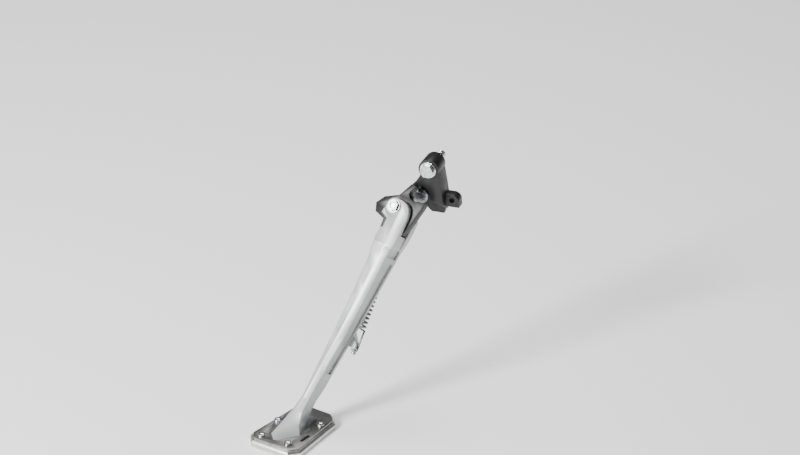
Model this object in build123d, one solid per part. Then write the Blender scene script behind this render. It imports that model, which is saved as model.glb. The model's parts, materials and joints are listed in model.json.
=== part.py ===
"""Motorcycle side stand: bracket, swinging leg, over-centre spring and a clamped foot plate.

Millimetres.  +X rearward, +Y inboard (into the bike), +Z up, with the stand swung down.
The origin is midway between the two mounting studs, on the bracket's mounting face.
"""
from build123d import *
from math import cos, radians, sin
import os

# ---- where the pivot is and how the stand leans -------------------------------------------
leg_splay = 32.5            # degrees the leg leans outboard
leg_sweep = 15.3            # degrees the leg points forward
pivot_toe = 8.1             # degrees the pivot axis is turned about the leg
ground_drop = 203.2         # pivot centre above the ground
face_offset = 13.0          # block's front face inboard of the pivot centre

# ---- mounting block -----------------------------------------------------------------------
block_depth = 21.5
bolt_upper = (26.9, 41.0)   # from the pivot: rearward, up
bolt_lower = (13.4, 3.8)
bolt_boss_radius = 10.5
lower_floor = 6.0           # metal left under the lower bolt
scallop_radius = 15.0       # relief round the lower bolt
bolt_dia = 8.0
bolt_fit = 0.25             # radial clearance of a frame bolt
stud_length = 20.0          # thread standing out of the mounting face
flange_dia = 16.6
shank_relief = 0.2          # plain shank is this much thinner in radius than the thread
flange_thick = 1.6
hex_flats = 12.0
hex_height = 5.0
lug_hole = (48.2, 5.8)       # from the pivot: rearward, up
lug_hole_dia = 5.5
lug_thick = 11.0
lug_radius = 7.2
lug_foot = -1.5             # flat underside of the lug

# ---- pivot --------------------------------------------------------------------------------
tongue_thick = 10.0
shoulder_dia = 12.0
running_fit = 0.05
bush_wall = 2.0
washer_thick = 1.0
washer_dia = 20.0
side_play = 0.05            # each side of the tongue
inner_ear = 7.9
outer_ear = 4.2
nut_thread_dia = 6.0
nut_seat_radius = 10.0
nut_flange_dia = 13.4
nut_flats = 10.0
nut_height = 4.6
nut_cover = 0.9             # bolt end lies this far below the nut's top
pivot_head_dia = 17.0
pivot_head_thick = 4.4
head_sink = 4.0             # counterbore for the pivot bolt's head
tongue_radius = 33.0        # nose of the tongue, ahead of the stop step
stop_radius = 30.0          # tongue behind the stop step
stop_angle = 12.0           # where the step is, degrees rearward of the leg
stop_gap = 0.3
slot_gap = 1.0

# ---- leg ----------------------------------------------------------------------------------
eye_radius = 8.8
ear_rear = 19.0             # rear edge of the fork
ridge_height = 1.5          # of the outer face's two facets
pocket_depth = 2.0
pocket_rim = 3.4

# ---- spring -------------------------------------------------------------------------------
anchor_up = 13.0            # anchor above the pivot, along the leg
anchor_ahead = 4.0          # anchor in front of the leg's centre line
anchor_inboard = 19.5
anchor_dia = 5.0
peg_down = 146.5
peg_rear = 16.5
peg_inboard = 14.0
peg_neck_dia = 2.6
peg_hold = 2.4              # how deep the stud sits in the lug
peg_head_dia = 5.2
wire_dia = 2.0
coil_dia = 8.6              # outside
lower_tail = 21.0           # straight wire below the coil
upper_tail = 48.0
eye_play = 0.5              # hook eye's clearance on its pin

# ---- foot ---------------------------------------------------------------------------------
foot_forward = 63.7         # foot centre ahead of the pivot
foot_outboard = 130.5       # foot centre outboard of the pivot
foot_turn = 14.4            # degrees the foot plate is turned, seen from above
base_front = 42.0           # foot centre to the front edge, then to the other three
base_back = 46.5
base_left = 31.0
base_right = 31.5
base_taper = 4.5            # the plate is this much narrower on each side at the back
base_corner = 10.5
base_thick = 6.8
base_bevel = 2.2
clamp_inset = 3.2
clamp_thick = 2.0
sole_thick = 4.2
pocket_gap = 0.3
screw_dia = 5.0
screw_head_dia = 8.2
screw_head_height = 1.9
screw_socket = 3.0
screw_length = 6.5
screw_places = ((-17.0, -30.4), (14.4, -29.2), (19.2, 19.4), (-21.4, 2.6))

pivot_forward = (bolt_upper[0] + bolt_lower[0]) / 2
pivot_drop = (bolt_upper[1] + bolt_lower[1]) / 2
pivot_outboard = face_offset + block_depth
pivot = Vector(-pivot_forward, -pivot_outboard, -pivot_drop)


def turned(vector, axis_direction, angle):
    return vector.rotate(Axis((0, 0, 0), tuple(axis_direction)), angle)


# The leg's own frame: x down the leg, y towards its rear edge, z outboard along the pivot.
down = turned(Vector(0, 0, -1), Vector(1, 0, 0), -leg_splay)
outboard = turned(Vector(0, -1, 0), Vector(1, 0, 0), -leg_splay)
down = turned(down, outboard, -leg_sweep)
outboard = turned(outboard, down, pivot_toe)
leg_frame = Plane(origin=pivot, x_dir=down, z_dir=outboard)


def leg_point(along, rear, out):
    """A point given in the leg's frame, as a vector of the model."""
    return leg_frame.from_local_coords(Vector(along, rear, out))


def pivot_point(rearward, inboard, up):
    """A point given from the pivot centre along the model's axes."""
    return pivot + Vector(rearward, inboard, up)


def polygon(points):
    return Face(Wire.make_polygon(points, close=True))


def leg_slab(points, low, high):
    """A prism along the pivot axis from an outline in the leg's frame."""
    outline = polygon([leg_point(along, rear, low) for along, rear in points])
    return extrude(outline, amount=high - low, dir=outboard)


def leg_round(along, rear, radius, low, high):
    """A cylinder along the pivot axis."""
    return leg_frame * Pos(along, rear, (low + high) / 2) * Cylinder(radius, high - low)


def inboard_round(rearward, up, radius, front, back):
    """A cylinder along Y; front and back are inboard of the pivot."""
    centre = pivot_point(rearward, (front + back) / 2, up)
    return Pos(*centre) * Rot(X=90) * Cylinder(radius, back - front)


def inboard_slab(points, front, back):
    """A prism along Y from an outline given rearward and up from the pivot."""
    outline = polygon([pivot_point(rearward, front, up) for rearward, up in points])
    return extrude(outline, amount=back - front, dir=(0, 1, 0))


half_tongue = tongue_thick / 2
ear_face = half_tongue + side_play * 2 + washer_thick     # inner side of each fork ear
inner_face = -(ear_face + inner_ear)
nut_seat = ear_face + outer_ear
slot_radius = tongue_radius + slot_gap
bush_radius = shoulder_dia / 2 + running_fit + bush_wall
bolt_radius = bolt_dia / 2
front_seat = pivot_outboard - block_depth                 # block's front face, from the pivot
lower_seat = pivot_outboard - lower_floor
anchor = (-anchor_up, -anchor_ahead, -anchor_inboard)
peg = (peg_down, peg_rear, -peg_inboard)


# ---- mounting bracket ---------------------------------------------------------------------
def tongue():
    """The lobe that the leg's fork straddles, with the step that stops the leg."""
    nose = [(tongue_radius * cos(radians(angle)), tongue_radius * sin(radians(angle)))
            for angle in (-9.5, -4.0, 2.0, 7.0, stop_angle)]
    heel = [(stop_radius * cos(radians(angle)), stop_radius * sin(radians(angle)))
            for angle in (stop_angle, 20.0, 29.0, 38.0)]
    rear = [(16.0, 20.6), (8.0, 22.4), (-2.0, 24.2), (-8.5, 25.6), (-14.8, 26.4), (-14.4, 21.0)]
    neck = [(-12.4, 14.0), (-13.6, 9.4), (-17.0, 6.4), (-20.0, 6.2), (-23.5, 8.0), (-27.0, 9.5)]
    front = [(-27.0, 4.4), (-12.6, -2.8), (-9.0, -9.5), (-5.0, -17.0), (4.0, -23.0),
             (12.4, -19.5), (15.4, -9.0), (15.6, -8.2), (23.5, -7.4)]
    return leg_slab(nose + heel + rear + neck + front, -half_tongue, half_tongue)


def mounting_block():
    upper_x, upper_z = bolt_upper
    lower_x, lower_z = bolt_lower
    front = front_seat
    outline = [(2.0, 10.8), (2.6, 12.2), (9.6, 19.6), (upper_x - 8.2, upper_z - 6.6),
               (upper_x, upper_z + 5.0), (upper_x + 8.4, upper_z + 4.6), (37.3, 36.5),
               (40.3, 20.0), (42.2, 6.8), (42.0, -6.0), (28.0, -12.0), (12.0, 8.0)]
    block = inboard_slab(outline, front, pivot_outboard)
    block += inboard_round(upper_x, upper_z, bolt_boss_radius, front, pivot_outboard)
    middle, top = lower_x + 0.8, lower_z + 4.7
    left, right = middle - scallop_radius, middle + scallop_radius
    relief = inboard_round(middle, top, scallop_radius, front - 20, lower_seat)
    relief += inboard_slab([(left, top), (left, -40.0), (right, -40.0), (right, top)], front - 20, lower_seat)
    block -= relief
    block -= leg_slab([(-20.6, -30.0), (-20.6, 120.0), (60.0, 120.0), (60.0, -30.0)], -40, 40)
    floor = inboard_round(lower_x, lower_z, bolt_boss_radius, lower_seat, pivot_outboard)
    skirt = [(lower_x - 5, lower_z - 9), (2.0, -7.8), (-3.0, -3.0), (-2.0, 4.0), (6.0, 15.6), (20.0, 26.0),
             (36.0, 20.0), (41.0, 2.0), (38.6, -12.0), (25.3, -12.0), (lower_x + 5, lower_z - 9.4)]
    return block + floor + inboard_slab(skirt, lower_seat, pivot_outboard)


def rear_lug():
    """The lug behind the block, and the hole to cut through it."""
    hole_x, hole_z = lug_hole
    back = pivot_outboard
    front = back - lug_thick
    crown = hole_z + lug_radius - 1.4
    lug = inboard_slab([(38.0, lug_foot), (38.0, crown), (hole_x, crown), (hole_x + lug_radius, 3.0),
                        (hole_x + lug_radius + 0.4, lug_foot)], front, back)
    lug += inboard_round(hole_x, hole_z - 1.4, lug_radius, front, back)
    below = [(30.0, lug_foot), (70.0, lug_foot), (70.0, -20.0), (30.0, -20.0)]
    lug -= inboard_slab(below, front - 1, back + 1)
    return lug, inboard_round(hole_x, hole_z, lug_hole_dia / 2, front - 1, back + 1)


def neck():
    """Joins the tongue to the block; its rear side slants clear of the lower bolt's head."""
    near = [(-21.3, 1.6), (-28.8, 5.3), (-38.0, 9.9), (-38.0, 18.0), (-30.0, 14.0), (-26.0, 10.5),
            (-23.5, 8.6), (-21.3, 6.6)]
    deep = [(-21.3, -2.6), (-28.8, 1.1), (-38.0, 5.7), (-38.0, 11.5), (-30.0, 7.5), (-26.0, 4.2),
            (-23.5, 2.8), (-21.3, 1.8)]
    root = loft([polygon([leg_point(along, rear, out) for along, rear in outline])
                 for outline, out in ((near, half_tongue), (deep, -half_tongue - 5.0))], ruled=True)
    web = [(-12.0, -2.8), (-12.0, 10.0), (-17.0, 6.4), (-22.0, 6.2), (-22.0, 1.9)]
    return root + leg_slab(web, -half_tongue, half_tongue)


def mount_bracket():
    lug, lug_cutter = rear_lug()
    bracket = mounting_block() + lug
    everywhere = [(-80, -80), (80, -80), (80, 80), (-80, 80)]
    bracket += tongue() - inboard_slab(everywhere, front_seat + 6, 90)
    bracket += neck() & inboard_slab(everywhere, front_seat, pivot_outboard)
    bracket -= lug_cutter
    for (rearward, up), seat in ((bolt_upper, front_seat), (bolt_lower, lower_seat)):
        bracket -= inboard_round(rearward, up, bolt_radius + bolt_fit, seat - 1, pivot_outboard + 1)
        bracket -= inboard_round(rearward, up, flange_dia / 2 + 1.2, seat - 12, seat)
    bracket -= leg_round(0, 0, bush_radius, -half_tongue - 1, half_tongue + 1)
    bracket -= leg_round(anchor[0], anchor[1], anchor_dia / 2, -60, anchor[2])
    return bracket


def flange_bolt(rearward, up, seat):
    head = inboard_round(rearward, up, flange_dia / 2, seat - flange_thick, seat)
    head += inboard_round(rearward, up, hex_flats * 0.56, seat - flange_thick - 0.8, seat - flange_thick)
    centre = pivot_point(rearward, seat - flange_thick, up)
    hexagon = RegularPolygon(hex_flats / 2, 6, major_radius=False)
    top = Plane(origin=centre, x_dir=(1, 0, 0), z_dir=(0, -1, 0))
    crown = inboard_round(rearward, up, hex_flats * 0.56, seat - flange_thick - hex_height, seat)
    head += extrude(top * hexagon, amount=hex_height) & crown
    head += inboard_round(rearward, up, bolt_radius - shank_relief, seat, pivot_outboard + 0.5)
    thread = inboard_round(rearward, up, bolt_radius, pivot_outboard + 0.5, pivot_outboard + stud_length)
    tip = thread.edges().filter_by(GeomType.CIRCLE).sort_by(Axis.Y)[-1]
    return head + chamfer(tip, 0.8)


# ---- pivot --------------------------------------------------------------------------------
def pivot_bush():
    outer = leg_round(0, 0, bush_radius, -half_tongue, half_tongue)
    return outer - leg_round(0, 0, shoulder_dia / 2 + running_fit, -20, 20)


def thrust_washer(side):
    near = half_tongue + side_play
    low, high = sorted((side * near, side * (near + washer_thick)))
    disc = leg_round(0, 0, washer_dia / 2, low, high)
    return disc - leg_round(0, 0, shoulder_dia / 2 + running_fit * 2, low - 1, high + 1)


def pivot_bolt():
    seat = inner_face + head_sink
    bolt = leg_round(0, 0, pivot_head_dia / 2, seat - pivot_head_thick, seat)
    rim = bolt.edges().filter_by(GeomType.CIRCLE)
    bolt = chamfer(rim, 0.6)
    socket = leg_frame * Pos(0, 0, seat - pivot_head_thick) * RegularPolygon(3.0, 6, major_radius=False)
    bolt -= extrude(socket, amount=2.6, dir=outboard)
    end = nut_seat + nut_height - nut_cover
    bolt += leg_round(0, 0, shoulder_dia / 2, seat, ear_face)
    thread = leg_round(0, 0, nut_thread_dia / 2, ear_face, end)
    tip = thread.edges().filter_by(GeomType.CIRCLE).sort_by_distance(leg_point(0, 0, end))[0]
    return bolt + chamfer(tip, 0.7)


def pivot_nut():
    flange = leg_round(0, 0, nut_flange_dia / 2, nut_seat, nut_seat + flange_thick)
    hexagon = RegularPolygon(nut_flats / 2, 6, major_radius=False)
    body = extrude(leg_frame * Pos(0, 0, nut_seat + flange_thick) * hexagon, amount=nut_height - flange_thick,
                   dir=outboard)
    body &= leg_round(0, 0, nut_flats * 0.56, nut_seat, nut_seat + nut_height)
    nut = flange + body
    nut -= leg_round(0, 0, nut_thread_dia / 2, nut_seat - 1, nut_seat + nut_height + 1)
    mouth = Cone(nut_thread_dia / 2 - 1, nut_thread_dia / 2 + 1, 2)
    return nut - leg_frame * Pos(0, 0, nut_seat + nut_height) * mouth


# ---- leg ----------------------------------------------------------------------------------
foot_centre = pivot + Vector(-foot_forward, -foot_outboard, 0)
foot_across = Vector(cos(radians(foot_turn)), -sin(radians(foot_turn)), 0)
base_top = -pivot_drop - ground_drop + base_thick
plate_top = base_top + clamp_thick


def foot_point(across, back, z):
    """A point given from the foot's centre, with its height in the model."""
    along = Vector(-foot_across.Y, foot_across.X, 0)
    return Vector(foot_centre.X, foot_centre.Y, z) + foot_across * across + along * back


def foot_slab(points, low, high):
    outline = polygon([foot_point(across, back, low) for across, back in points])
    return extrude(outline, amount=high - low, dir=(0, 0, 1))


def foot_round(across, back, radius, low, high):
    centre = foot_point(across, back, (low + high) / 2)
    return Pos(*centre) * Cylinder(radius, high - low)


# Shank sections: distance down the leg, inner and outer width, then rear-inner, rear-outer,
# ridge, front-outer and front-inner edges measured towards the rear.
shank = [
    (38.0, -12.4, 12.0, 18.0, 16.8, 9.4, -4.4, -4.0),
    (56.0, -11.4, 11.3, 17.2, 15.5, 9.0, -1.9, -1.4),
    (90.0, -10.4, 10.4, 14.9, 14.6, 7.4, -1.6, -1.2),
    (135.0, -9.7, 9.5, 11.6, 11.3, 4.2, -2.4, -2.0),
    (187.0, -9.0, 9.0, 7.2, 6.6, 0.6, -3.3, -3.0),
]
# Where the same five edges land on the foot's sole, from the foot's centre.
toe = [(8.0, 13.0), (13.8, -9.0), (-3.5, -31.0), (-13.3, -21.5), (-10.0, 12.0)]
toe_levels = (-165.0, -176.0, -187.0)
toe_ease = [(0.0, 0.2, 0.5, 1.0), (0.0, 0.35, 0.7, 1.0), (0.0, 0.14, 0.47, 1.0),
            (0.0, 0.14, 0.47, 1.0), (0.0, 0.2, 0.5, 1.0)]


def shank_section(along, inner, outer, rear_inner, rear_outer, ridge, front_outer, front_inner):
    return [leg_point(along, rear_inner, inner), leg_point(along, rear_outer, outer),
            leg_point(along, ridge, outer + ridge_height), leg_point(along, front_outer, outer),
            leg_point(along, front_inner, inner)]


def toe_sections():
    """Level sections that lead the shank's five edges out into the toe."""
    above = shank_section(*shank[-2])
    last = shank_section(*shank[-1])
    sections = []
    for level, z in enumerate([pivot.Z + drop for drop in toe_levels] + [base_top]):
        section = []
        for corner in range(5):
            slope = (last[corner] - above[corner]) / (last[corner].Z - above[corner].Z)
            straight = last[corner] + slope * (z - last[corner].Z)
            landed = foot_point(*toe[corner], z)
            section.append(straight + (landed - straight) * toe_ease[corner][level])
        sections.append(section)
    return sections


def fork_block():
    """The forked head before it is cut; its outer face carries the shank's ridge on."""
    lobe = [(eye_radius * cos(radians(angle)), eye_radius * sin(radians(angle)))
            for angle in (262, 240, 220, 200, 180, 162)]
    outline = [(10.3, -9.4), (4.6, -8.6)] + lobe
    outline += [(-8.0, 8.6), (-6.6, 13.0), (-3.6, 16.2), (0.6, 18.2), (6.0, ear_rear), (16.0, ear_rear)]
    outline += [(31.0, ear_rear - 0.6), (40.0, 18.0), (40.0, -4.2), (33.0, -4.6), (24.6, -3.2)]
    outline += [(23.2, -0.8), (14.0, -0.8), (13.2, -2.2)]
    block = leg_slab(outline, inner_face, 20)
    roof = []
    for along, ridge_out in ((-14.0, 13.6), (38.0, 13.5), (41.0, 13.35)):
        behind, ahead = ridge_out - ridge_height * 1.3, ridge_out - ridge_height * 1.7
        roof.append([leg_point(along, 19.4, -20), leg_point(along, 19.4, behind),
                     leg_point(along, 9.4, ridge_out), leg_point(along, -14.0, ahead),
                     leg_point(along, -14.0, -20)])
    block &= loft([polygon(section) for section in roof], ruled=True)
    wing = [(2.0, 10.0), (2.0, 18.0), (6.0, ear_rear + 1.2), (16.0, ear_rear + 1.2), (31.0, ear_rear + 0.4),
            (40.0, ear_rear - 0.8), (40.0, 10.0)]
    block += leg_slab(wing, inner_face, -ear_face)
    taper = [(25.0, inner_face), (25.0, inner_face - 5), (42.0, inner_face - 5), (42.0, -12.1)]
    wedge = polygon([leg_point(along, -40, out) for along, out in taper])
    return block - extrude(wedge, amount=80, dir=leg_frame.y_dir)


def fork_slot():
    """The gap for the tongue, with the step that meets the tongue's own."""
    front = [(slot_radius * cos(radians(angle)), slot_radius * sin(radians(angle)))
             for angle in (-60, -40, -20, -5, 5, stop_angle)]
    step = stop_radius + slot_gap
    rear = [(step * cos(radians(angle)), step * sin(radians(angle)) + stop_gap)
            for angle in (stop_angle, 20, 30, 40, 55, 70)]
    outline = [(-30.0, -40.0)] + front + rear + [(-30.0, 50.0)]
    return leg_slab(outline, -ear_face, ear_face)


def shank_at(along):
    """The shank's section numbers at any distance down the leg."""
    for near, far in zip(shank, shank[1:]):
        if along <= far[0]:
            part = (along - near[0]) / (far[0] - near[0])
            return [start + (end - start) * part for start, end in zip(near, far)]
    return shank[-1]


def leg_pocket(*levels):
    """A shallow lightening pocket in the leg's rear side."""
    faces = []
    for along in levels:
        station, inner, outer, rear_inner, rear_outer = shank_at(along)[:5]
        low, high = inner + pocket_rim, outer - pocket_rim
        near, far = rear_inner - pocket_depth, rear_outer - pocket_depth
        faces.append(polygon([leg_point(station, near, low), leg_point(station, far, high),
                              leg_point(station, far + 12, high), leg_point(station, near + 12, low)]))
    return loft(faces, ruled=True)


def spring_lug():
    edge = peg_rear + peg_neck_dia / 2
    outline = [(peg_down - 17.0, 6.0), (peg_down - 16.0, 8.5), (peg_down - 5.5, edge - 0.6),
               (peg_down - 0.3, edge + 0.3), (peg_down - 0.3, 5.0), (peg_down - 8.0, 4.0)]
    return leg_slab(outline, -peg_inboard - 2.4, -peg_inboard + 6.0)


# The leg's sole, the clamp plate's opening and the spare pocket beside the heel, seen from above.
sole_outline = [(-3.6, -32.8), (5.5, -25.0), (16.8, -9.8), (16.8, 2.0), (12.5, 9.5), (9.4, 27.5),
                (-9.0, 27.5), (-12.0, 10.0), (-16.6, -2.0), (-15.2, -20.5)]
opening_outline = [(-3.6, -31.5), (1.0, -30.0), (14.2, -9.6), (15.8, 3.5), (9.5, 26.0), (-8.0, 26.0),
                   (-20.9, 22.7), (-20.9, 9.7), (-16.4, 1.8), (-14.0, -21.0)]
pocket_outline = [(-10.0, 1.8), (-16.4, 1.8), (-20.9, 9.7), (-20.9, 22.7), (-8.0, 26.0), (0.0, 26.0)]


def stand_leg():
    leg = fork_block()
    sections = [shank_section(*station) for station in shank] + toe_sections()
    body = loft([polygon(section) for section in sections[:5]], ruled=True)
    body += loft([polygon(section) for section in sections[4:]], ruled=True)
    leg += body
    leg += foot_slab(sole_outline, base_top - sole_thick, base_top)
    leg += foot_slab([(-6.0, 10.0), (10.4, 10.0), (8.6, 25.4), (-6.0, 25.4)], base_top, plate_top + 2.4)
    leg += spring_lug()
    leg -= fork_slot()
    leg -= leg_round(0, 0, nut_seat_radius, nut_seat, nut_seat + 10)
    leg -= leg_round(0, 0, shoulder_dia / 2 + running_fit, inner_face - 1, 0)
    leg -= leg_round(0, 0, nut_thread_dia / 2 + running_fit, 0, nut_seat + 1)
    leg -= leg_round(0, 0, pivot_head_dia / 2 + 0.5, inner_face - 5, inner_face + head_sink)
    leg -= leg_pocket(39.5, 49.0)
    leg -= leg_pocket(54.0, 56.0, 90.0, 135.0, 180.0)
    hole = leg_point(peg_down, peg_rear, -peg_inboard)
    bore = Plane(origin=hole, z_dir=down) * Pos(0, 0, -peg_hold / 2)
    return leg - bore * Cylinder(peg_neck_dia / 2, peg_hold)


def spring_peg():
    seat = leg_point(peg_down, peg_rear, -peg_inboard)
    along = Plane(origin=seat, z_dir=down)
    neck = along * Pos(0, 0, (3.4 - peg_hold) / 2) * Cylinder(peg_neck_dia / 2, 3.4 + peg_hold)
    head = along * Pos(0, 0, 4.2) * Cylinder(peg_head_dia / 2, 2.4)
    head_rim = head.edges().filter_by(GeomType.CIRCLE)
    return neck + chamfer(head_rim, 0.5)


# ---- foot ---------------------------------------------------------------------------------
def plate_outline():
    """The foot plate seen from above: corners cut, and narrower towards the bike."""
    tip_left, tip_right = base_left - base_taper, base_right - base_taper
    return [(-base_left, base_corner - base_front), (base_corner * 0.85 - base_left, -base_front),
            (base_right - base_corner * 0.85, -base_front), (base_right, base_corner - base_front),
            (tip_right, base_back - base_corner * 1.2), (tip_right - base_corner, base_back - 1.0),
            (base_corner * 1.7 - tip_left, base_back), (-tip_left, base_back - base_corner * 0.8)]


def offset_slab(points, gap, low, high):
    flat = make_face(Polyline(*points, close=True))
    flat = offset(flat, gap, kind=Kind.INTERSECTION)
    frame = Plane(origin=foot_point(0, 0, low), x_dir=foot_across, z_dir=(0, 0, 1))
    return extrude(frame * flat, amount=high - low)


def base_plate():
    base = foot_slab(plate_outline(), base_top - base_thick, base_top)
    upright = base.edges().filter_by(Axis.Z)
    base = fillet(upright, 2.5)
    rim = base.faces().sort_by(Axis.Z)[-1].edges()
    base = chamfer(rim, base_bevel)
    pocket = offset_slab(sole_outline, pocket_gap, base_top - sole_thick - pocket_gap, base_top + 1)
    pocket += offset_slab(pocket_outline, 0.01, base_top - sole_thick - pocket_gap, base_top + 1)
    base -= pocket
    for across, back in screw_places:
        base -= foot_round(across, back, screw_dia / 2, base_top - screw_length + 1.0, base_top + 1)
    return base


def clamp_plate():
    plate = offset_slab(plate_outline(), -clamp_inset, base_top, plate_top)
    plate = fillet(plate.edges().filter_by(Axis.Z), 2.0)
    plate -= foot_slab(opening_outline, base_top - 1, plate_top + 1)
    for across, back in screw_places:
        plate -= foot_round(across, back, screw_dia / 2 + 0.25, base_top - 1, plate_top + 1)
    return plate


def clamp_screw(across, back):
    head = foot_round(across, back, screw_head_dia / 2, plate_top, plate_top + screw_head_height)
    head = fillet(head.edges().filter_by(GeomType.CIRCLE).sort_by(Axis.Z)[-1], 0.5)
    socket_plane = Plane(origin=foot_point(across, back, plate_top + screw_head_height), z_dir=(0, 0, 1))
    socket = extrude(socket_plane * RegularPolygon(screw_socket / 2, 6, major_radius=False), amount=-1.3)
    bottom = plate_top - screw_length
    shank_part = foot_round(across, back, screw_dia / 2, bottom, plate_top)
    return head - socket + shank_part


# ---- spring -------------------------------------------------------------------------------
upper_eye = leg_point(-anchor_up, -anchor_ahead, -anchor_inboard)
lower_eye = leg_point(peg_down + 0.85, peg_rear, -peg_inboard)
spring_line = (lower_eye - upper_eye).normalized()
hook_radius = (coil_dia - wire_dia) / 2
coil_start = upper_eye + spring_line * upper_tail
coil_end = lower_eye - spring_line * lower_tail


def ring(centre, axis, radius):
    return Plane(origin=centre, z_dir=axis) * Torus(radius, wire_dia / 2)


def spring_upper_hook():
    ring_radius = anchor_dia / 2 + wire_dia / 2 + eye_play
    rod_length = upper_tail - ring_radius
    rod = Plane(origin=upper_eye + spring_line * (ring_radius + rod_length / 2), z_dir=spring_line)
    rod = rod * Cylinder(wire_dia / 2, rod_length)
    return ring(upper_eye, outboard, ring_radius) + rod


def spring_coil():
    length = (coil_end - coil_start).length
    middle = coil_start + spring_line * (length / 2)
    tube = Plane(origin=middle, z_dir=spring_line) * Cylinder(coil_dia / 2, length)
    core = Plane(origin=middle, z_dir=spring_line) * Cylinder(coil_dia / 2 - wire_dia, length - 2 * wire_dia)
    return tube - core


def spring_lower_hook():
    ring_radius = peg_neck_dia / 2 + wire_dia / 2 + eye_play
    rearward = leg_point(0, 1, 0) - pivot
    start = coil_end + rearward * (hook_radius + 0.3)
    rod_line = lower_eye + rearward * ring_radius - start
    end = Plane(origin=start, z_dir=spring_line) * Circle(wire_dia / 2)
    rod = extrude(end, amount=rod_line.length, dir=rod_line.normalized())
    return ring(lower_eye, down, ring_radius) + rod


# ---- write each piece ---------------------------------------------------------------------
os.makedirs("parts", exist_ok=True)
pieces = {
    "mount_bracket": mount_bracket(),
    "upper_frame_bolt": flange_bolt(*bolt_upper, front_seat),
    "lower_frame_bolt": flange_bolt(*bolt_lower, lower_seat),
    "spring_anchor_pin": leg_round(anchor[0], anchor[1], anchor_dia / 2, -26.5, anchor[2] + 2.0),
    "pivot_bush": pivot_bush(),
    "outer_thrust_washer": thrust_washer(1),
    "inner_thrust_washer": thrust_washer(-1),
    "pivot_bolt": pivot_bolt(),
    "pivot_nut": pivot_nut(),
    "stand_leg": stand_leg(),
    "spring_peg": spring_peg(),
    "spring_upper_hook": spring_upper_hook(),
    "spring_coil": spring_coil(),
    "spring_lower_hook": spring_lower_hook(),
    "base_plate": base_plate(),
    "clamp_plate": clamp_plate(),
}
for index, place in enumerate(screw_places, start=1):
    pieces[f"clamp_screw_{index}"] = clamp_screw(*place)
for name, piece in pieces.items():
    export_step(piece, f"parts/{name}.step")
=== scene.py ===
import json
import math
import bmesh
import bpy
from mathutils import Matrix, Vector


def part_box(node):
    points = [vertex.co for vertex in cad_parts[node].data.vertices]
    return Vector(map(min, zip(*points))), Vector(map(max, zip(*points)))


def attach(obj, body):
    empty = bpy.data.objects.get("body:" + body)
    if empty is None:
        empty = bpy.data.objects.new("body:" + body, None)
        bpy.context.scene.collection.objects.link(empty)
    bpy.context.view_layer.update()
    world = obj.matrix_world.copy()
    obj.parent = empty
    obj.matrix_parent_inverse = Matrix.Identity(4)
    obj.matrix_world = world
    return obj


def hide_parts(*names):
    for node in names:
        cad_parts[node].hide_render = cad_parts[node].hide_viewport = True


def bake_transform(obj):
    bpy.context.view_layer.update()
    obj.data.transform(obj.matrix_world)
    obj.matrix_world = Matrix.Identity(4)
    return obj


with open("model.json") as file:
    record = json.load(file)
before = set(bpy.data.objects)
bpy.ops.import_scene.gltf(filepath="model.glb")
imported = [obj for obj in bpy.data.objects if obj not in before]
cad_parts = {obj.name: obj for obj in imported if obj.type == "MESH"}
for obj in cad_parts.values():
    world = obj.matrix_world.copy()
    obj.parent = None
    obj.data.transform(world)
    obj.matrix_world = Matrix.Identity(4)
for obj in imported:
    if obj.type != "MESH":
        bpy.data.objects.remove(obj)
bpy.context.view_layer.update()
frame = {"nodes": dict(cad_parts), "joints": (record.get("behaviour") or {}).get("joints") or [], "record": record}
joints = {joint["name"]: joint for joint in frame["joints"]}
pivotPoint = Vector(joints["fold"]["pos_m"])
pivotAxis = Vector(joints["fold"]["axis"]).normalized()
anchorPoint = Vector(joints["spring_swing"]["pos_m"])
mm = 0.001
print("frame loaded")

# the leg's own directions: down the leg, rearward across it, and out along the pivot
lean = dict(splay=32.5, sweep=15.3)
legDown = Matrix.Rotation(math.radians(-lean["splay"]), 3, "X") @ Vector((0, 0, -1))
firstAxis = Matrix.Rotation(math.radians(-lean["splay"]), 3, "X") @ Vector((0, -1, 0))
legDown = Matrix.Rotation(math.radians(-lean["sweep"]), 3, firstAxis) @ legDown
legRear = pivotAxis.cross(legDown).normalized()

# camera: a long lens from the left, a little behind and above the stand
view = dict(azimuth=20.0, elevation=26.0, distance=3.0, lens=135.0, aimRight=1.5 * mm, aimUp=-19.4 * mm)


def addCamera():
    data = bpy.data.cameras.new("camera")
    data.lens = view["lens"]
    data.sensor_width = 36.0
    data.clip_end = 50.0
    camera = bpy.data.objects.new("camera", data)
    bpy.context.scene.collection.objects.link(camera)
    azimuth, elevation = math.radians(view["azimuth"]), math.radians(view["elevation"])
    level = math.cos(elevation)
    towards = Vector((math.sin(azimuth) * level, -math.cos(azimuth) * level, math.sin(elevation)))
    right = Vector((math.cos(azimuth), math.sin(azimuth), 0))
    up = towards.cross(right)
    target = pivotPoint + right * view["aimRight"] + up * view["aimUp"]
    turn = Matrix((right, up, towards)).transposed().to_4x4()
    camera.matrix_world = Matrix.Translation(target + towards * view["distance"]) @ turn
    bpy.context.scene.camera = camera


addCamera()
print("camera placed")


# materials
def linear(code):
    channels = [int(code[place:place + 2], 16) / 255 for place in (1, 3, 5)]
    return (*[c / 12.92 if c <= 0.04045 else ((c + 0.055) / 1.055) ** 2.4 for c in channels], 1.0)


def newMaterial(name):
    material = bpy.data.materials.new(name)
    material.use_nodes = True
    tree = material.node_tree
    tree.nodes.clear()
    shader = tree.nodes.new("ShaderNodeBsdfPrincipled")
    output = tree.nodes.new("ShaderNodeOutputMaterial")
    tree.links.new(shader.outputs["BSDF"], output.inputs["Surface"])
    return material, tree, shader


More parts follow.
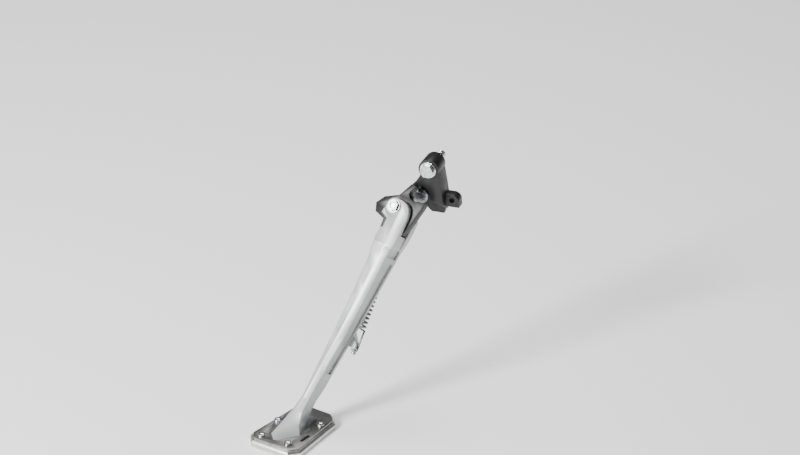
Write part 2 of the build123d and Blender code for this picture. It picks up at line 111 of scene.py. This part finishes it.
def addNode(tree, kind, settings=None, links=None):  # one node, its settings, and what feeds it
    node = tree.nodes.new(kind)
    for name, value in (settings or {}).items():
        if name in node.inputs:
            node.inputs[name].default_value = value
        else:
            setattr(node, name, value)
    for name, source in (links or {}).items():
        tree.links.new(source, node.inputs[name])
    return node


def stops(ramp, places):
    while len(ramp.color_ramp.elements) < len(places):
        ramp.color_ramp.elements.new(0.5)
    for element, (place, value) in zip(ramp.color_ramp.elements, places):
        element.position = place
        element.color = value if isinstance(value, tuple) else (value, value, value, 1.0)


def turnedSpace(tree, along, across):  # object coordinates with x laid along one direction
    coordinates = addNode(tree, "ShaderNodeTexCoord")
    along = along.normalized()
    third = along.cross(across).normalized()
    turn = Matrix((along, third.cross(along), third)).to_euler()
    return addNode(tree, "ShaderNodeMapping", dict(Rotation=turn), dict(Vector=coordinates.outputs["Object"]))


castPaint = dict(light="#C2C3C4", dark="#AEAFB0", blotch=22 * mm, grain=0.7 * mm, roughness=(0.36, 0.48))


def makeSilverPaint():
    # silver paint on a forged aluminium leg: soft sheen with a faint metallic grain and hazy patches
    material, tree, shader = newMaterial("silver painted forging")
    shader.inputs["Metallic"].default_value = 0.3
    shader.inputs["Coat Weight"].default_value = 0.15
    shader.inputs["Coat Roughness"].default_value = 0.25
    space = turnedSpace(tree, legDown, legRear)
    haze = addNode(tree, "ShaderNodeTexNoise", dict(Scale=1 / castPaint["blotch"], Detail=3.0),
                   dict(Vector=space.outputs["Vector"]))
    tint = addNode(tree, "ShaderNodeValToRGB", {}, dict(Fac=haze.outputs["Fac"]))
    stops(tint, [(0.3, linear(castPaint["dark"])), (0.68, linear(castPaint["light"]))])
    grain = addNode(tree, "ShaderNodeTexNoise", dict(Scale=1 / castPaint["grain"], Detail=2.0),
                    dict(Vector=space.outputs["Vector"]))
    low, high = castPaint["roughness"]
    sheen = addNode(tree, "ShaderNodeMapRange", {"To Min": low, "To Max": high},
                    dict(Value=haze.outputs["Fac"]))
    bump = addNode(tree, "ShaderNodeBump", dict(Strength=0.12, Distance=0.05 * mm),
                   dict(Height=grain.outputs["Fac"]))
    tree.links.new(tint.outputs["Color"], shader.inputs["Base Color"])
    tree.links.new(sheen.outputs["Result"], shader.inputs["Roughness"])
    tree.links.new(bump.outputs["Normal"], shader.inputs["Normal"])
    return material


powder = dict(colour="#0B0B0C", worn="#151517", peel=1.1 * mm, dust=14 * mm,
              roughness=(0.36, 0.52))


def makePowderCoat():
    # black powder coat on a machined steel block: satin, with a fine orange peel and a little dust
    material, tree, shader = newMaterial("black powder coat")
    space = addNode(tree, "ShaderNodeTexCoord")
    dust = addNode(tree, "ShaderNodeTexNoise", dict(Scale=1 / powder["dust"], Detail=5.0),
                   dict(Vector=space.outputs["Object"]))
    tint = addNode(tree, "ShaderNodeValToRGB", {}, dict(Fac=dust.outputs["Fac"]))
    stops(tint, [(0.35, linear(powder["colour"])), (0.75, linear(powder["worn"]))])
    peel = addNode(tree, "ShaderNodeTexNoise", dict(Scale=1 / powder["peel"], Detail=1.0),
                   dict(Vector=space.outputs["Object"]))
    bump = addNode(tree, "ShaderNodeBump", dict(Strength=0.25, Distance=0.06 * mm),
                   dict(Height=peel.outputs["Fac"]))
    low, high = powder["roughness"]
    sheen = addNode(tree, "ShaderNodeMapRange", {"To Min": low, "To Max": high},
                    dict(Value=dust.outputs["Fac"]))
    tree.links.new(tint.outputs["Color"], shader.inputs["Base Color"])
    tree.links.new(sheen.outputs["Result"], shader.inputs["Roughness"])
    tree.links.new(bump.outputs["Normal"], shader.inputs["Normal"])
    return material


# a hairline is drawn out to its width divided by the stretch
brushed = dict(stretch=0.03, stain=9 * mm, lineShare=0.7)


def makeBrushedMetal(name, light, dark, along, across, hair, roughness, depth):
    # metal finished with an abrasive belt: fine hairlines that all run one way
    material, tree, shader = newMaterial(name)
    shader.inputs["Metallic"].default_value = 1.0
    space = turnedSpace(tree, along, across)
    drawn = addNode(tree, "ShaderNodeMapping", dict(Scale=(brushed["stretch"], 1.0, 1.0)),
                    dict(Vector=space.outputs["Vector"]))
    lines = addNode(tree, "ShaderNodeTexNoise", dict(Scale=1 / hair, Detail=3.0),
                    dict(Vector=drawn.outputs["Vector"]))
    stain = addNode(tree, "ShaderNodeTexNoise", dict(Scale=1 / brushed["stain"], Detail=4.0),
                    dict(Vector=space.outputs["Vector"]))
    mix = addNode(tree, "ShaderNodeMath", dict(operation="MULTIPLY_ADD"),
                  {0: lines.outputs["Fac"], 2: stain.outputs["Fac"]})
    mix.inputs[1].default_value = brushed["lineShare"]
    tint = addNode(tree, "ShaderNodeValToRGB", {}, dict(Fac=mix.outputs["Value"]))
    stops(tint, [(0.55, linear(dark)), (1.05, linear(light))])
    low, high = roughness
    sheen = addNode(tree, "ShaderNodeMapRange", {"To Min": low, "To Max": high},
                    dict(Value=lines.outputs["Fac"]))
    bump = addNode(tree, "ShaderNodeBump", dict(Strength=0.2, Distance=depth),
                   dict(Height=lines.outputs["Fac"]))
    tree.links.new(tint.outputs["Color"], shader.inputs["Base Color"])
    tree.links.new(sheen.outputs["Result"], shader.inputs["Roughness"])
    tree.links.new(bump.outputs["Normal"], shader.inputs["Normal"])
    return material


cloudSize = 3.5 * mm


def makeZinc(name, light, dark, roughness):
    # plated or plain bright metal: slightly cloudy, with small stains
    material, tree, shader = newMaterial(name)
    shader.inputs["Metallic"].default_value = 1.0
    space = addNode(tree, "ShaderNodeTexCoord")
    cloud = addNode(tree, "ShaderNodeTexNoise", dict(Scale=1 / cloudSize, Detail=4.0),
                    dict(Vector=space.outputs["Object"]))
    tint = addNode(tree, "ShaderNodeValToRGB", {}, dict(Fac=cloud.outputs["Fac"]))
    stops(tint, [(0.32, linear(dark)), (0.62, linear(light))])
    low, high = roughness
    sheen = addNode(tree, "ShaderNodeMapRange", {"To Min": low, "To Max": high},
                    dict(Value=cloud.outputs["Fac"]))
    tree.links.new(tint.outputs["Color"], shader.inputs["Base Color"])
    tree.links.new(sheen.outputs["Result"], shader.inputs["Roughness"])
    return material


thread = dict(pitch=1.25 * mm, height=0.35 * mm, start=0.6 * mm)  # M8 coarse, out of the mounting face


def addThread(material):
    # rolled thread on the part of the shank that stands out of the mounting face
    tree = material.node_tree
    shader = tree.nodes["Principled BSDF"]
    coordinates = addNode(tree, "ShaderNodeTexCoord")
    split = addNode(tree, "ShaderNodeSeparateXYZ", {}, dict(Vector=coordinates.outputs["Object"]))
    turns = addNode(tree, "ShaderNodeMath", dict(operation="MULTIPLY"), {0: split.outputs["Y"]})
    turns.inputs[1].default_value = 2 * math.pi / thread["pitch"]
    wave = addNode(tree, "ShaderNodeMath", dict(operation="SINE"), {0: turns.outputs["Value"]})
    outside = addNode(tree, "ShaderNodeMath", dict(operation="GREATER_THAN"), {0: split.outputs["Y"]})
    outside.inputs[1].default_value = thread["start"]
    height = addNode(tree, "ShaderNodeMath", dict(operation="MULTIPLY"),
                     {0: wave.outputs["Value"], 1: outside.outputs["Value"]})
    bump = addNode(tree, "ShaderNodeBump", dict(Strength=1.0, Distance=thread["height"]),
                   dict(Height=height.outputs["Value"]))
    tree.links.new(bump.outputs["Normal"], shader.inputs["Normal"])


silverPaint = makeSilverPaint()
powderCoat = makePowderCoat()
footTurn = math.radians(14.4)  # the foot plate's turn, seen from above
footAcross = Vector((math.cos(footTurn), -math.sin(footTurn), 0))
footAlong = Vector((math.sin(footTurn), math.cos(footTurn), 0))
clampSteel = makeBrushedMetal("brushed stainless steel", "#A3A29F", "#7D7C79", footAlong, footAcross,
                              0.35 * mm, (0.3, 0.45), 0.03 * mm)
baseAluminium = makeBrushedMetal("milled aluminium", "#D9D9D6", "#B2B2AF", footAlong, footAcross,
                                 0.5 * mm, (0.28, 0.42), 0.03 * mm)
zincBright = makeZinc("bright zinc plate", "#DADBDC", "#A9ACAE", (0.16, 0.32))
zincSpring = makeZinc("zinc plated spring wire", "#A9ABAD", "#77797B", (0.25, 0.42))
screwSteel = makeZinc("stainless screw steel", "#DCDDDD", "#AEB0B1", (0.2, 0.34))
zincThreaded = makeZinc("bright zinc plate, threaded", "#DADBDC", "#A9ACAE", (0.16, 0.32))
addThread(zincThreaded)
# sintered bronze for the pivot washers, its own colour darkened almost to black: painted shade for the shadowed
# top of the fork ear
bronze = makeZinc("sintered bronze darkened as painted shade", "#3A2F22", "#2A2219", (0.35, 0.5))
# a darker and rougher copy of the bright zinc: its darker colour is painted shade that tones down the key lamp's
# highlight on the pivot nut
zincDullAndShaded = makeZinc("dull zinc plate darkened as painted shade", "#A4A6A8", "#77797C", (0.24, 0.4))
etchedOxide = makeZinc("laser darkened steel", "#3A3A34", "#26261F", (0.4, 0.55))
print("materials made")


# CAD pieces get their finish, and soft edges where a forged or machined edge would show
softEdge = dict(corner=25.0, merge=0.002 * mm, flat=0.6, sharp=32)  # angles in degrees


def softened(nodeName, pieceName, width, material, body):
    source = frame["nodes"][nodeName]
    mesh = source.data.copy()
    mesh.materials.clear()
    piece = bpy.data.objects.new(pieceName, mesh)
    bpy.context.scene.collection.objects.link(piece)
    work = bmesh.new()
    work.from_mesh(mesh)
    bmesh.ops.remove_doubles(work, verts=work.verts, dist=softEdge["merge"])
    bmesh.ops.dissolve_limit(work, angle_limit=math.radians(softEdge["flat"]), verts=work.verts,
                             edges=work.edges)
    corner = math.radians(softEdge["corner"])
    sharp = [edge for edge in work.edges
             if edge.is_manifold and abs(edge.calc_face_angle_signed()) > corner]
    bmesh.ops.bevel(work, geom=sharp, offset=width, offset_type="OFFSET", segments=2, profile=0.5,
                    affect="EDGES", clamp_overlap=True, material=-1)
    work.to_mesh(mesh)
    work.free()
    mesh.shade_smooth()
    mesh.set_sharp_from_angle(angle=math.radians(softEdge["sharp"]))
    mesh.materials.append(material)
    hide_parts(nodeName)
    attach(piece, body)


finishes = {"bracket_black": powderCoat, "leg_silver": silverPaint, "base_aluminium": baseAluminium,
            "clamp_steel": clampSteel, "zinc_fastener": zincBright, "screw_stainless": screwSteel,
            "spring_steel": zincSpring, "bush_bronze": bronze}
slots = {part["node"]: part["material_slot"] for part in frame["record"]["subparts"]}
for nodeName, node in frame["nodes"].items():
    node.data.materials.clear()
    node.data.materials.append(finishes[slots[nodeName]])
# threads on the frame bolts; the pivot nut gets the darker zinc copy, painted shade against the key lamp's
# highlight
for nodeName, material in (("upper_frame_bolt", zincThreaded), ("lower_frame_bolt", zincThreaded),
                           ("pivot_nut", zincDullAndShaded)):
    frame["nodes"][nodeName].data.materials[0] = material
softened("stand_leg", "forgedLeg", 0.7 * mm, silverPaint, "leg")
softened("mount_bracket", "machinedBracket", 0.5 * mm, powderCoat, "bracket")
softened("base_plate", "footBase", 0.4 * mm, baseAluminium, "leg")
softened("clamp_plate", "footClampPlate", 0.25 * mm, clampSteel, "leg")
print("CAD pieces finished")

# one spring wire, from the anchor's eye through the coil to the peg's eye
spring = dict(wire=2.0 * mm, outside=8.6 * mm, pitch=4.35 * mm, upperTail=48.0 * mm, lowerTail=21.0 * mm,
              upperEye=4.0 * mm, lowerEye=2.8 * mm, perTurn=14)


def springPath():
    pegLow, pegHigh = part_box("spring_peg")
    pegEye = (pegLow + pegHigh) / 2 - legDown * (0.65 * mm)
    line = (pegEye - anchorPoint).normalized()
    side = line.cross(pivotAxis).normalized()
    side = side if side.dot(legRear) > 0 else -side
    other = line.cross(side)
    radius = (spring["outside"] - spring["wire"]) / 2
    points = []
    eyeSide = pivotAxis.cross(line).normalized()
    for step in range(17):  # upper eye, wound round the anchor pin
        angle = math.radians(40 + 300 * step / 16)
        points.append(anchorPoint + (line * math.cos(angle) + eyeSide * math.sin(angle)) * spring["upperEye"])
    start = spring["upperTail"]
    for share in (0.2, 0.5, 0.85):
        points.append(anchorPoint + line * (start * share))
    coilLength = (pegEye - anchorPoint).length - start - spring["lowerTail"]
    turns = round(coilLength / spring["pitch"])
    count = turns * spring["perTurn"]
    for step in range(count + 1):
        angle = 2 * math.pi * step / spring["perTurn"]
        place = anchorPoint + line * (start + coilLength * step / count)
        points.append(place + (side * math.cos(angle) + other * math.sin(angle)) * radius)
    coilEnd = anchorPoint + line * (start + coilLength)
    rear = legRear * spring["lowerEye"]
    for share in (0.35, 0.7):
        points.append((coilEnd + side * radius).lerp(pegEye + rear, share))
    across = legDown.cross(legRear)
    for step in range(15):  # lower eye, round the peg's neck
        angle = math.radians(300 * step / 14)
        points.append(pegEye + (legRear * math.cos(angle) + across * math.sin(angle)) * spring["lowerEye"])
    return points, anchorPoint + line * start, coilEnd


def addSpring():
    points, coilStart, coilEnd = springPath()
    curve = bpy.data.curves.new("springWire", "CURVE")
    curve.dimensions = "3D"
    curve.bevel_depth = spring["wire"] / 2
    curve.bevel_resolution = 4
    curve.use_fill_caps = True
    wire = curve.splines.new("NURBS")
    wire.points.add(len(points) - 1)
    for point, place in zip(wire.points, points):
        point.co = (*place, 1)
    wire.order_u = 3
    wire.use_endpoint_u = True
    wire.resolution_u = 2
    drawn = bpy.data.objects.new("springCurve", curve)
    bpy.context.scene.collection.objects.link(drawn)
    mesh = bpy.data.meshes.new_from_object(drawn.evaluated_get(bpy.context.evaluated_depsgraph_get()))
    bpy.data.objects.remove(drawn)
    mesh.name = "springWire"
    mesh.materials.clear()
    mesh.materials.append(zincSpring)
    mesh.shade_smooth()
    piece = bpy.data.objects.new("springWire", mesh)
    bpy.context.scene.collection.objects.link(piece)
    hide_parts("spring_upper_hook", "spring_coil", "spring_lower_hook")
    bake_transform(piece)


addSpring()
print("spring wound")


# a plain dark bar etched in the clamp plate, beside the toe
# its place is measured from the screw nearest the front corner
etchedBar = dict(across=7.8 * mm, along=17.4 * mm, length=14.0 * mm, width=3.4 * mm, proud=0.04 * mm,
                 corner=0.6 * mm)


def addEtchedBar():
    low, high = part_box("clamp_screw_2")
    middle = (low + high) / 2
    place = Vector((middle.x, middle.y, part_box("clamp_plate")[1].z + etchedBar["proud"] / 2))
    place += footAcross * etchedBar["across"] + footAlong * etchedBar["along"]
    turn = Matrix((footAlong, -footAcross, Vector((0, 0, 1)))).transposed().to_4x4()
    work = bmesh.new()
    size = Matrix.Diagonal((etchedBar["length"], etchedBar["width"], etchedBar["proud"], 1))
    bmesh.ops.create_cube(work, size=1.0, matrix=size)
    uprights = [edge for edge in work.edges
                if abs((edge.verts[0].co - edge.verts[1].co).z) > 0.5 * etchedBar["proud"]]
    bmesh.ops.bevel(work, geom=uprights, offset=etchedBar["corner"], offset_type="OFFSET", segments=4,
                    profile=0.5, affect="EDGES", material=-1)
    bmesh.ops.transform(work, matrix=Matrix.Translation(place) @ turn, verts=work.verts)
    mesh = bpy.data.meshes.new("etchedBar")
    work.to_mesh(mesh)
    work.free()
    mesh.materials.append(etchedOxide)
    piece = bpy.data.objects.new("etchedBar", mesh)
    bpy.context.scene.collection.objects.link(piece)
    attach(piece, "leg")


addEtchedBar()


# plain pale studio
studio = dict(floor="#FAFAFA", size=8.0, glow=0.3, sky="#F2F3F5", skyStrength=0.18)


def addStudio():
    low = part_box("base_plate")[0].z
    work = bmesh.new()
    bmesh.ops.create_grid(work, x_segments=1, y_segments=1, size=studio["size"] / 2,
                          matrix=Matrix.Translation((0, 0, low - 0.02 * mm)))
    mesh = bpy.data.meshes.new("studioFloor")
    work.to_mesh(mesh)
    work.free()
    material, tree, shader = newMaterial("matt white paper")
    shader.inputs["Base Color"].default_value = linear(studio["floor"])
    shader.inputs["Roughness"].default_value = 0.9
    shader.inputs["Emission Color"].default_value = linear(studio["floor"])
    shader.inputs["Emission Strength"].default_value = studio["glow"]
    mesh.materials.append(material)
    floor = bpy.data.objects.new("studioFloor", mesh)
    bpy.context.scene.collection.objects.link(floor)
    world = bpy.data.worlds.new("studioWorld")
    world.use_nodes = True
    world.node_tree.nodes["Background"].inputs["Color"].default_value = linear(studio["sky"])
    world.node_tree.nodes["Background"].inputs["Strength"].default_value = studio["skyStrength"]
    bpy.context.scene.world = world


def addLamp(name, place, size, power):
    data = bpy.data.lights.new(name, "AREA")
    data.shape = "DISK"
    data.size = size
    data.energy = power
    lamp = bpy.data.objects.new(name, data)
    bpy.context.scene.collection.objects.link(lamp)
    lamp.location = pivotPoint + Vector(place)
    lamp.rotation_euler = (-Vector(place)).to_track_quat("-Z", "Y").to_euler()


addStudio()
for name, place, size, power in (
        ("keyLamp", (-1.2, -2.0, 1.3), 0.8, 150.0),
        ("fillLamp", (1.6, -1.6, 0.4), 1.6, 0.8),
        ("topLamp", (-0.2, 0.8, 2.0), 0.9, 26.0)):
    addLamp(name, place, size, power)
print("studio lit")
